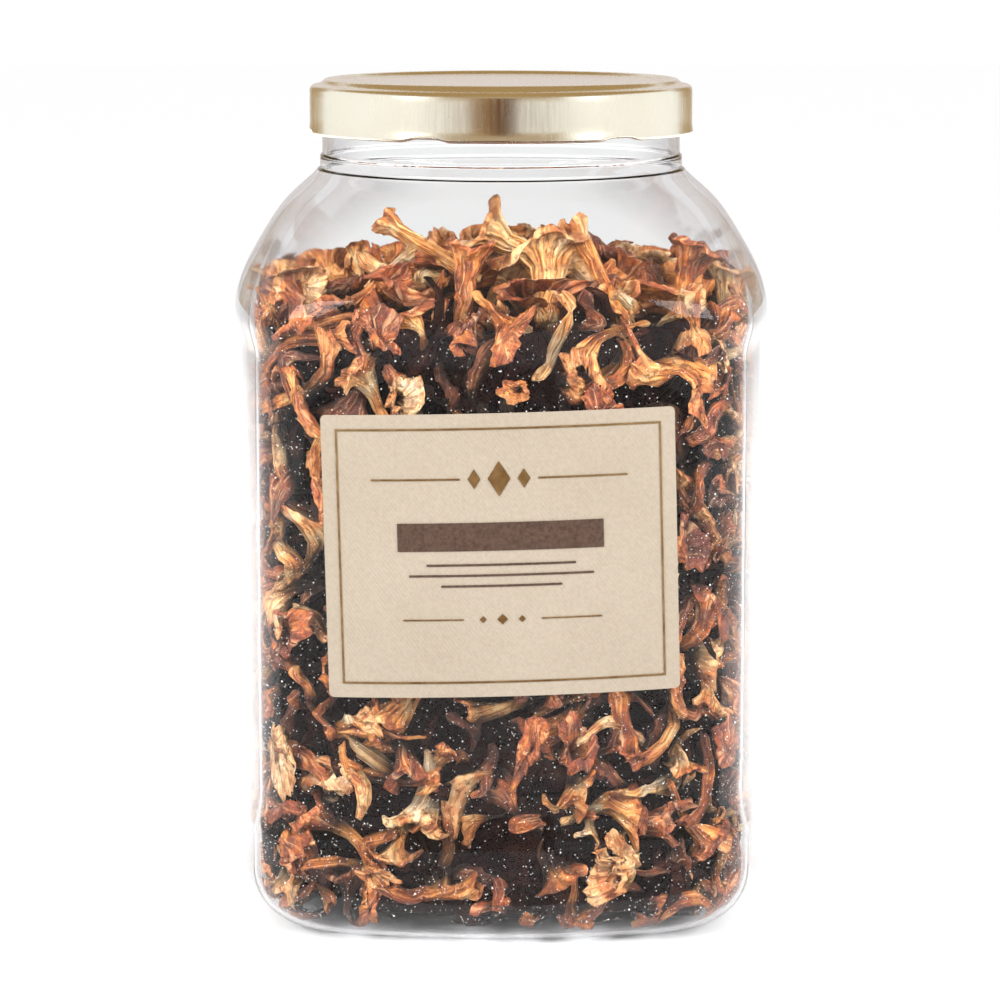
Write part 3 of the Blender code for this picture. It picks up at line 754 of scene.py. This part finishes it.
def trumpetShape(draw, turn, share, length, cap, stem, gills):
    # stem, flared cap with gills that run down the stem, waved rim and sunken top
    depth = draw.uniform(0.55, 0.85)
    flare = draw.uniform(0.42, 0.62)
    outline = smoothCurve([
        (0, 0.01), (stem * 0.8, 0), (stem * 0.95, 0.12), (stem, 0.3), (stem * 1.1, flare),
        (0.5, flare + 0.55 * (1 - flare)), (0.82, 0.92), (1.0, 0.99), (0.95, 1.02),
        (0.72, 0.96), (0.42, 1 - 0.7 * (1 - depth)), (0.0, depth)], 200)
    spot = share * 199
    radius = np.interp(spot, np.arange(200), np.maximum(outline[:, 0], 0)) * cap
    height = np.interp(spot, np.arange(200), outline[:, 1]) * length
    outer = 1 - smoothStep(share, 0.66, 0.72)
    reach = (radius / cap) ** 2
    twist = turn + draw.uniform(-0.8, 0.8) * height / length + 0.25 * np.sin(3 * turn + draw.uniform(0, 6))
    ridge = np.abs(np.cos(gills * twist / 2 + draw.uniform(0, 3))) ** 0.8
    strength = smoothStep(share, 0.2, 0.5) * outer
    relief = (ridge - 0.6) * strength * cap * 0.17
    waves = (draw.uniform(0.08, 0.2) * np.sin(2 * turn + draw.uniform(0, 6))
             + draw.uniform(0.05, 0.16) * np.sin(3 * turn + draw.uniform(0, 6))
             + draw.uniform(0.02, 0.09) * np.sin(6 * turn + draw.uniform(0, 6)))
    lift = (draw.uniform(0.1, 0.3) * np.sin(2 * turn + draw.uniform(0, 6))
            + draw.uniform(0.05, 0.2) * np.sin(4 * turn + draw.uniform(0, 6))
            + draw.uniform(0.02, 0.08) * np.sin(9 * turn + draw.uniform(0, 6)))
    droop = draw.uniform(-0.15, 0.55)
    grow = radius * (1 + waves * reach) + relief
    height = height + cap * reach * (lift - droop * reach) - 0.6 * relief
    points = np.stack((grow * np.cos(turn), grow * np.sin(turn), height), axis=2)
    points += wrinkles(draw, points, 7 * mm, 0.34 * mm)[..., None] * np.array((1, 1, 0.5))
    zone = np.where(share < 0.66, 0.5 * smoothStep(share, 0.1, 0.62),
                    0.5 + 0.5 * smoothStep(share, 0.66, 0.76))
    return points, ridge * strength + (1 - strength) * 0.7, zone


def leafShape(draw, turn, share, length, width, thickness, gills):
    # a curled piece of cap: smooth above, gills below
    spread = width * np.sqrt(np.clip(1 - (2 * share - 1) ** 2 * 0.96, 0, 1)) * (
        1 + 0.16 * np.sin(7 * share + draw.uniform(0, 6)))
    spread *= 1 - smoothStep(np.abs(share - 0.5), 0.44, 0.5)
    across = spread * np.cos(turn)
    below = np.sin(turn) < 0
    fan = across / width * gills * (1 - 0.25 * share) + 0.5 * np.sin(5 * share + draw.uniform(0, 6))
    ridge = np.abs(np.cos(fan * math.pi / 2)) ** 0.8
    swell = np.where(below, 0.5 + 0.9 * ridge, 0.7)
    up = thickness * np.sin(turn) * swell * np.minimum(1, spread / width * 2)
    along = (share - 0.5) * length
    edge = (across / width) ** 2
    wave = draw.uniform(0.1, 0.3) * np.sin(draw.uniform(4, 7) * share + draw.uniform(0, 6))
    up = up + width * edge * wave
    curl = draw.uniform(0.5, 1.5) * width
    angle = across / curl
    bend = draw.uniform(-0.012, 0.012) / mm * along
    points = np.stack(((curl + up) * np.sin(angle), (curl + up) * np.cos(angle) - curl, along), axis=2)
    points[..., 1] += bend * along * 0.5
    points += wrinkles(draw, points, 6 * mm, 0.3 * mm)[..., None] * np.array((0.6, 1, 0.4))
    zone = np.where(below, 0.35, 0.9)
    return points, np.where(below, ridge, 0.7), zone


def mushroomShape(draw, around, along, size):
    # a trumpet, a long stem, a short wide cap or a curled piece of cap, crumpled and bent by drying
    turn, share = shapeGrid(around, along)
    kind = draw.random()
    if kind < 0.36:
        length = draw.uniform(17, 31) * mm * size
        cap = length * draw.uniform(0.24, 0.42)
        stem = draw.uniform(0.17, 0.3)
        shape = trumpetShape(draw, turn, share, length, cap, stem, draw.choice((9, 10, 11, 12)))
    elif kind < 0.5:
        length = draw.uniform(20, 36) * mm * size
        cap = length * draw.uniform(0.09, 0.14)
        shape = trumpetShape(draw, turn, share, length, cap, draw.uniform(0.4, 0.65), 7)
    elif kind < 0.64:
        length = draw.uniform(11, 16) * mm * size
        cap = length * draw.uniform(0.42, 0.62)
        stem = draw.uniform(0.2, 0.34)
        shape = trumpetShape(draw, turn, share, length, cap, stem, draw.choice((10, 11, 12)))
    else:
        length = draw.uniform(14, 27) * mm * size
        width = length * draw.uniform(0.2, 0.38)
        thickness = draw.uniform(1.2, 2.0) * mm * size
        shape = leafShape(draw, turn, share, length, width, thickness, draw.choice((7, 9, 11)))
    points, ridge, zone = shape
    points[..., 2] -= points[..., 2].mean()
    fold = draw.uniform(0.32, 0.8)
    points[..., 0] *= fold
    sway = points[..., 2] / length
    twist = draw.uniform(-1.7, 1.7) * sway
    x, y = points[..., 0], points[..., 1]
    points = np.stack((x * np.cos(twist) - y * np.sin(twist), x * np.sin(twist) + y * np.cos(twist),
                       points[..., 2]), axis=2)
    points[..., 0] += draw.uniform(0.5, 1.6) * mm * np.sin(draw.uniform(4, 9) * sway + draw.uniform(0, 6))
    points[..., 1] += draw.uniform(0.5, 1.8) * mm * np.sin(draw.uniform(4, 9) * sway + draw.uniform(0, 6))
    points += wrinkles(draw, points, 4.5 * mm, 0.26 * mm)[..., None] * np.array((1, 1, 0.6))
    for axis in (1, 0):
        bend = draw.uniform(-0.5, 0.5) / (length * 0.5)
        points[..., axis] += bend * points[..., 2] ** 2
    return points, ridge, zone


def fillHalf(height):
    # half-width inside the wall at a height
    rows = np.array(shoulderOutline()[::-1] + [(jar["rimHeight"], jar["neckRadius"], 1)])
    half = np.interp(height, rows[:, 0], rows[:, 1])
    low = jar["baseFillet"] - jar["wall"] - heap["wallGap"]
    drop = np.clip(jar["baseFillet"] - height, 0, low)
    fillet = jar["bumpHalf"] - jar["baseFillet"] + np.sqrt(low ** 2 - drop ** 2)
    return np.minimum(np.minimum(half, jar["panelHalf"]) - jar["wall"] - heap["wallGap"], fillet)


def fillRoundness(height):
    rows = np.array(shoulderOutline()[::-1])
    return np.interp(height, rows[:, 0], rows[:, 2])


def keepInside(points):
    # the pieces press flat against the wall and the floor
    points[..., 2] = np.maximum(points[..., 2], heap["floor"])
    azimuth = np.arctan2(points[..., 1], points[..., 0])
    half = fillHalf(points[..., 2])
    blend = fillRoundness(points[..., 2])
    limit = (1 - blend) * sectionReach(half, azimuth) + blend * half
    distance = np.hypot(points[..., 0], points[..., 1])
    scale = np.minimum(1, limit / np.maximum(distance, 1e-6))
    points[..., :2] *= scale[..., None]
    return points


def heapTop(distance):
    share = np.clip(distance / jar["panelHalf"], 0, 1)
    return heap["edge"] + (heap["crown"] - heap["edge"]) * np.cos(share * math.pi / 2)


def keepLow(points):
    # what would stand far out of the heap bends down
    limit = heapTop(np.hypot(points[..., 0], points[..., 1])) + heap["rise"]
    points[..., 2] = np.minimum(points[..., 2], limit + 0.3 * np.maximum(points[..., 2] - limit, 0))
    return points


def toneDraw(draw):
    # a quarter of the pieces are dark, half are rust to ochre and a quarter are pale
    low, high = draw.choice(((0.04, 0.33), (0.25, 0.52), (0.38, 0.68), (0.72, 1.0)))
    return draw.uniform(low, high)


def drawStart(draw):
    return [draw.uniform(0, 60) for k in range(3)]


def depthInHeap(points):
    # 0 at the wall or the top of the heap, 1 well inside; it sets how dark the painted shade on a piece is
    azimuth = np.arctan2(points[..., 1], points[..., 0])
    distance = np.hypot(points[..., 0], points[..., 1])
    fromWall = sectionReach(fillHalf(points[..., 2]), azimuth) - distance
    fromTop = 0.55 * (heapTop(distance) - points[..., 2])
    return np.clip(np.minimum(fromWall, fromTop) / heap["paintedShadeDepth"], 0, 1)


def newPile():
    return {"form": bmesh.new(), "co": [], "tint": [], "fibre": [], "shade": []}


def addShape(pile, points, ridge, zone, tone, strands, start, shade=0):
    around = points.shape[1] - 1
    along = points.shape[0] - 1
    turn, share = shapeGrid(around, along)
    bmesh.ops.create_grid(pile["form"], x_segments=around, y_segments=along, size=1)
    pile["co"].append(points)
    pile["tint"].append(np.stack((np.full(ridge.shape, tone), ridge, zone, depthInHeap(points)), axis=2))
    pile["fibre"].append(np.stack((strands * np.cos(turn) + start[0], strands * np.sin(turn) + start[1],
                                   2.2 * share + start[2]), axis=2))
    pile["shade"].append(np.full(around * along, shade))


def pileObject(name, pile):
    # the grids take their shapes' places and colours, and then close at seams and ends
    thing = addObject(name, pile["form"])
    mesh = thing.data
    rows = {key: np.concatenate([block.reshape(-1, block.shape[2]) for block in pile[key]])
            for key in ("co", "tint", "fibre")}
    mesh.vertices.foreach_set("co", rows["co"].ravel())
    mesh.attributes.new("tint", "FLOAT_COLOR", "POINT").data.foreach_set("color", rows["tint"].ravel())
    mesh.attributes.new("fibre", "FLOAT_VECTOR", "POINT").data.foreach_set("vector", rows["fibre"].ravel())
    mesh.polygons.foreach_set("material_index", np.concatenate(pile["shade"]))
    form = bmesh.new()
    form.from_mesh(mesh)
    bmesh.ops.remove_doubles(form, verts=form.verts, dist=0.002 * mm)
    bmesh.ops.recalc_face_normals(form, faces=form.faces)
    form.to_mesh(mesh)
    form.free()
    return thing


def wallPlace(draw, side, height, depth, facing):
    # turns a shape so that it lies along the wall at a place given by side (0 to 4) and height
    quarter = math.pi / 2 * math.floor(side)
    swing = math.atan(2 * (side % 1) - 1)
    azimuth = quarter + swing
    reach = float(sectionReach(fillHalf(np.array(height)), np.array(azimuth))) - depth
    spin = Matrix.Rotation(draw.uniform(-0.5, 0.5) + draw.choice((0, math.pi)), 4, "Z")
    lean = Matrix.Rotation(draw.uniform(0.7, 1.3) if facing else draw.uniform(-0.25, 0.35), 4, "Y")
    roll = Matrix.Rotation(draw.uniform(0, 6.28), 4, "X")
    out = Matrix.Rotation(quarter + 0.6 * swing, 4, "Z")
    spot = Matrix.Translation((reach * math.cos(azimuth), reach * math.sin(azimuth), height))
    return spot @ out @ roll @ lean @ spin


def topPlace(draw, azimuth, distance):
    lean = Matrix.Rotation(draw.uniform(0.7, 1.6), 4, "Y")
    out = Matrix.Rotation(draw.uniform(0, 6.28), 4, "Z")
    spin = Matrix.Rotation(draw.uniform(0, 6.28), 4, "Z")
    height = float(heapTop(np.array(distance))) - draw.uniform(2, 9) * mm
    spot = Matrix.Translation((distance * math.cos(azimuth), distance * math.sin(azimuth), height))
    return spot @ out @ lean @ spin


def transformed(points, matrix):
    turn = np.array(matrix.to_3x3())
    return points @ turn.T + np.array(matrix.translation)


def heapPlaces(draw):
    # (matrix, detailed or not, size) for every piece of the heap
    places = []
    bottom, edge = heap["floor"], heap["edge"]
    for row in range(heap["rows"]):
        for column in range(heap["columns"]):
            side = 4 * (column + 0.5 * (row % 2) + draw.uniform(-0.35, 0.35)) / heap["columns"] % 4
            height = bottom + (edge - bottom) * (row + 0.5 + draw.uniform(-0.45, 0.45)) / heap["rows"]
            facing = draw.random() < 0.2
            depth = draw.uniform(2.6, 7) * mm
            places.append((wallPlace(draw, side, height, depth, facing), True, heap["wallSize"]))
    margin = heap["backingMargin"]
    for row in range(heap["backingRows"]):
        for column in range(heap["backingColumns"]):
            side = 4 * (column + 0.5 * (row % 2) + draw.uniform(-0.3, 0.3)) / heap["backingColumns"] % 4
            height = bottom + margin + (edge - bottom - 2 * margin) * (row + 0.5) / heap["backingRows"]
            depth = draw.uniform(11, 15) * mm
            places.append((wallPlace(draw, side, height, depth, False), False, heap["backingSize"]))
    for k in range(heap["topPieces"]):
        distance = heap["topRadius"] * math.sqrt((k + 0.5) / heap["topPieces"])
        places.append((topPlace(draw, k * heap["topTurn"], distance), True, heap["topSize"]))
    return places


def addCore(pile, low, high):
    # the unseen middle of a layer, a block in heapShade's near-black painted shade
    turn, share = shapeGrid(heap["coreAround"], heap["coreAlong"])
    side = sectionReach(np.full(turn.shape, heap["coreHalf"]), turn)
    radius = side * np.where((share == 0) | (share == 1), 0.0, 1.0)
    height = low + (high - low) * np.clip((share - 0.1) / 0.8, 0, 1)
    height = np.minimum(height, heapTop(radius) - 9 * mm)
    points = np.stack((radius * np.cos(turn), radius * np.sin(turn), height), axis=2)
    addShape(pile, points, np.zeros(turn.shape), np.full(turn.shape, 0.2), 0.0, 3, (0, 0, 0), 1)


def standingShape(draw, foot, top, cap, stem, gills):
    turn, share = shapeGrid(heap["standingAround"], heap["standingAlong"])
    foot, top = Vector(foot) * mm, Vector(top) * mm
    points, ridge, zone = trumpetShape(draw, turn, share, (top - foot).length, cap * mm, stem, gills)
    turned = (top - foot).to_track_quat("Z", "Y").to_matrix().to_4x4()
    points = transformed(points, Matrix.Translation(foot) @ turned)
    points += wrinkles(draw, points, 5 * mm, 0.25 * mm)[..., None]
    points[..., 1] = foot.y + (points[..., 1] - foot.y) * 0.7
    return keepInside(points), ridge, zone


def buildHeap(materials):
    # each level is two pieces, in front and behind, and the front one stands for the solid
    draw = random.Random(heap["seed"])
    levels = heap["levels"]
    piles = {}
    for k in range(len(levels) - 1):
        piles[k, "Rear"] = newPile()
        piles[k, ""] = newPile()
        addCore(piles[k, "Rear"], levels[k] + 0.6 * mm, min(levels[k + 1], heap["crown"]) - 0.2 * mm)
    for matrix, detailed, size in heapPlaces(draw):
        around = heap["around"] if detailed else heap["roughAround"]
        along = heap["along"] if detailed else heap["roughAlong"]
        points, ridge, zone = mushroomShape(draw, around, along, size)
        points = keepInside(keepLow(transformed(points, matrix)))
        level = sum(matrix.translation.z > level for level in levels[1:-1])
        pile = piles[level, "Rear" if matrix.translation.y > 0 else ""]
        # pieces that are not detailed, the backing ones, take heapShade's painted shade
        addShape(pile, points, ridge, zone, toneDraw(draw), draw.uniform(3, 5.5), drawStart(draw),
                 0 if detailed else 1)
    for foot, top, cap, stem, gills, tone in heap["standing"]:
        pile = piles[len(levels) - 2, ""]
        addShape(pile, *standingShape(draw, foot, top, cap, stem, gills), tone, 5, drawStart(draw))
    for (k, part), pile in piles.items():
        top = k == len(levels) - 2
        name = ("mushroomsTop" if top else f"mushroomsLayer{k + 1}") + part
        node = "mushrooms_top" if top else f"mushrooms_layer_{k + 1}"
        finishPiece(pileObject(name, pile), "jar", materials, None if part else node)


dust = {
    "doublings": 14,
    "size": (0.1 * mm, 0.24 * mm),
    "largeShare": 0.04,
    "largeSize": 1.8,
    "low": 8 * mm,
    "rise": 176 * mm,
    "thinning": 1.3,
}


def buildDust(material):
    # pale crumbs that cling to the inside of the wall: one chip, doubled until there are enough
    draw = random.Random(heap["seed"] + 2)
    form = bmesh.new()
    bmesh.ops.create_cone(form, cap_ends=True, segments=3, radius1=1, radius2=0.4, depth=1)
    crumbs = addObject("crumbs", form)
    mesh = crumbs.data
    chip = np.array([vertex.co for vertex in mesh.vertices])
    for doubling in range(dust["doublings"]):
        form = bmesh.new()
        form.from_mesh(mesh)
        form.from_mesh(mesh)
        form.to_mesh(mesh)
        form.free()
    count = 2 ** dust["doublings"]
    side = np.array([4 * (k + draw.random()) / count for k in range(count)])
    azimuth = math.pi / 2 * np.floor(side) + np.arctan(2 * (side % 1) - 1)
    height = np.array([dust["low"] + dust["rise"] * draw.random() ** dust["thinning"] for k in range(count)])
    reach = sectionReach(fillHalf(height), azimuth) - [draw.uniform(0.1, 0.6) * mm for k in range(count)]
    places = np.stack((reach * np.cos(azimuth), reach * np.sin(azimuth), height), axis=1)
    chips = []
    for place in places:
        size = draw.uniform(*dust["size"]) * (dust["largeSize"] if draw.random() < dust["largeShare"] else 1)
        turned = np.array(Euler([draw.uniform(0, 6) for axis in range(3)]).to_matrix())
        chips.append(chip @ turned.T * size + place)
    mesh.vertices.foreach_set("co", np.concatenate(chips).ravel())
    mesh.update()
    finishPiece(crumbs, "jar", [material])
    print("crumbs")


loose = {
    "count": 6,
    "around": 56,
    "along": 26,
    "length": 26 * mm,
    "cap": 9 * mm,
    "stem": 0.3,
    "gills": 12,
}


def buildLoose(material):
    draw = random.Random(heap["seed"] + 1)
    for k in range(loose["count"]):
        node = f"mushroom_loose_{k + 1}"
        low, high = (Vector(corner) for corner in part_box(node))
        turn, share = shapeGrid(loose["around"], loose["along"])
        points, ridge, zone = trumpetShape(draw, turn, share, loose["length"], loose["cap"], loose["stem"],
                                           loose["gills"])
        points[..., 2] -= points[..., 2].mean()
        lay = Matrix.Rotation(draw.uniform(0, 6.28), 4, "Z") @ Matrix.Rotation(draw.uniform(1.1, 1.7), 4, "Y")
        middle = (low + high) / 2
        points = keepInside(transformed(points, Matrix.Translation(middle) @ lay))
        pile = newPile()
        addShape(pile, points, ridge, zone, draw.uniform(0.65, 0.95), 4.5, drawStart(draw))
        finishPiece(pileObject(f"looseMushroom{k + 1}", pile), "jar", [material], node)
    print("loose mushrooms")


# Studio: a white tent, soft lamps left and right, and the camera as in the photograph
studio = {
    "cameraDistance": 1150 * mm,
    "cameraHeight": 297 * mm,
    "pitch": math.radians(8.8),
    "focalPixels": 3879,
    "imageWidth": 1000,
    "sensor": 36,
    "tent": 1.03,
    "sideWatts": 9.6,
    "rearWatts": 3.5,
    "topWatts": 2.0,
}


def buildCamera():
    data = bpy.data.cameras.new("camera")
    data.sensor_width = studio["sensor"]
    data.lens = studio["focalPixels"] / studio["imageWidth"] * studio["sensor"]
    camera = bpy.data.objects.new("camera", data)
    camera.location = (-0.3 * mm, -studio["cameraDistance"], studio["cameraHeight"])
    camera.rotation_euler = (math.pi / 2 - studio["pitch"], 0, 0)
    bpy.context.scene.collection.objects.link(camera)
    bpy.context.scene.camera = camera


def addLamp(name, place, target, size, power, throughWall=False):
    # no lamp shows in gloss, and only the front ones shine in through the wall's refraction
    data = bpy.data.lights.new(name, "AREA")
    data.shape = "RECTANGLE"
    data.size, data.size_y = size
    data.energy = power
    lamp = bpy.data.objects.new(name, data)
    lamp.location = place
    lamp.visible_glossy = False
    lamp.visible_transmission = throughWall
    lamp.rotation_euler = (Vector(target) - Vector(place)).to_track_quat("-Z", "Y").to_euler()
    bpy.context.scene.collection.objects.link(lamp)


def addCard(name, material, place, turn, half):
    # a card that only reflections see: the brown ones keep the front of the jar clear
    form = bmesh.new()
    bmesh.ops.create_grid(form, x_segments=1, y_segments=1, size=1)
    form.transform(Matrix.LocRotScale(Vector(place), Euler(turn), Vector((*half, 1))))
    card = addObject(name, form)
    card.data.materials.append(material)
    card.visible_camera = False
    card.visible_diffuse = False
    card.visible_transmission = False
    card.visible_shadow = False


def buildStudio():
    form = bmesh.new()
    bmesh.ops.create_grid(form, x_segments=1, y_segments=1, size=6)
    floor = addObject("floor", form)
    floor.data.materials.append(floorWhite())
    world = bpy.data.worlds.new("tent")
    world.use_nodes = True
    background = world.node_tree.nodes["Background"]
    background.inputs["Color"].default_value = (1, 1, 1, 1)
    background.inputs["Strength"].default_value = studio["tent"]
    bpy.context.scene.world = world
    bpy.context.scene.view_settings.view_transform = "Standard"
    glint = cardPaint("glintCard", (5, 5, 5, 1))
    for side in (-1, 1):
        addLamp("sideBox", (side * 0.66, -0.64, 0.62), (0, 0, 0.12), (0.5, 0.4), studio["sideWatts"], True)
        addCard("cardGlint", glint, (side * 0.75, -0.55, 0.42), (math.pi / 2 - 0.3, 0, side * 0.94),
                (0.09, 0.07))
        addLamp("rearBox", (side * 0.8, 0.75, 0.6), (0, 0, 0.12), (0.5, 0.4), studio["rearWatts"])
    addLamp("topBox", (0, -0.1, 1.1), (0, 0, 0.1), (0.8, 0.8), studio["topWatts"])
    brown = cardPaint("brownCard", (0.15, 0.08, 0.068, 1))
    golden = cardPaint("goldenCard", (0.1, 0.034, 0.006, 1))
    soft = cardPaint("softCard", (0.42, 0.29, 0.14, 1))
    bronze = cardPaint("bronzeCard", (0.33, 0.18, 0.055, 1))
    tan = cardPaint("tanCard", (0.5, 0.39, 0.27, 1))
    dim = cardPaint("ceilingCard", (0.42, 0.28, 0.13, 1))
    rose = cardPaint("roseCard", (0.78, 0.71, 0.69, 1))
    upright = (math.pi / 2, 0, 0)
    flat = (0, 0, 0)
    addCard("cardBack", golden, (0.05, -1.79, 0.3), upright, (0.23, 0.3))
    addCard("cardBeside", bronze, (-0.38, -1.79, 0.3), upright, (0.2, 0.3))
    addCard("cardHigh", tan, (0, -1.8, 0.97), upright, (1.4, 0.63))
    addCard("cardFront", brown, (0, -0.66, 0.5 * mm), flat, (0.75, 0.57))
    addCard("cardFar", brown, (0, -1.51, 0.5 * mm), flat, (0.75, 0.28))
    addCard("cardCeiling", dim, (0, 0, 1.35), flat, (1.6, 1.6))
    addCard("cardBehind", rose, (0, 1.8, 0.62), upright, (0.6, 0.55))
    for side in (-1, 1):
        addCard("cardFlank", soft, (side * 1.25, 1.8, 0.62), upright, (0.65, 0.55))
    buildCamera()


plastic = clearPlastic()
buildJar(plastic)
buildThreads(plastic)
buildLid(goldLacquer())
buildSeal(sealingCompound())
buildLabel(linenPaper(), goldFoil(), brownInk())
flesh = driedFlesh()
buildHeap([flesh, heapShade()])
buildLoose(flesh)
buildDust(paleCrumb())
buildStudio()
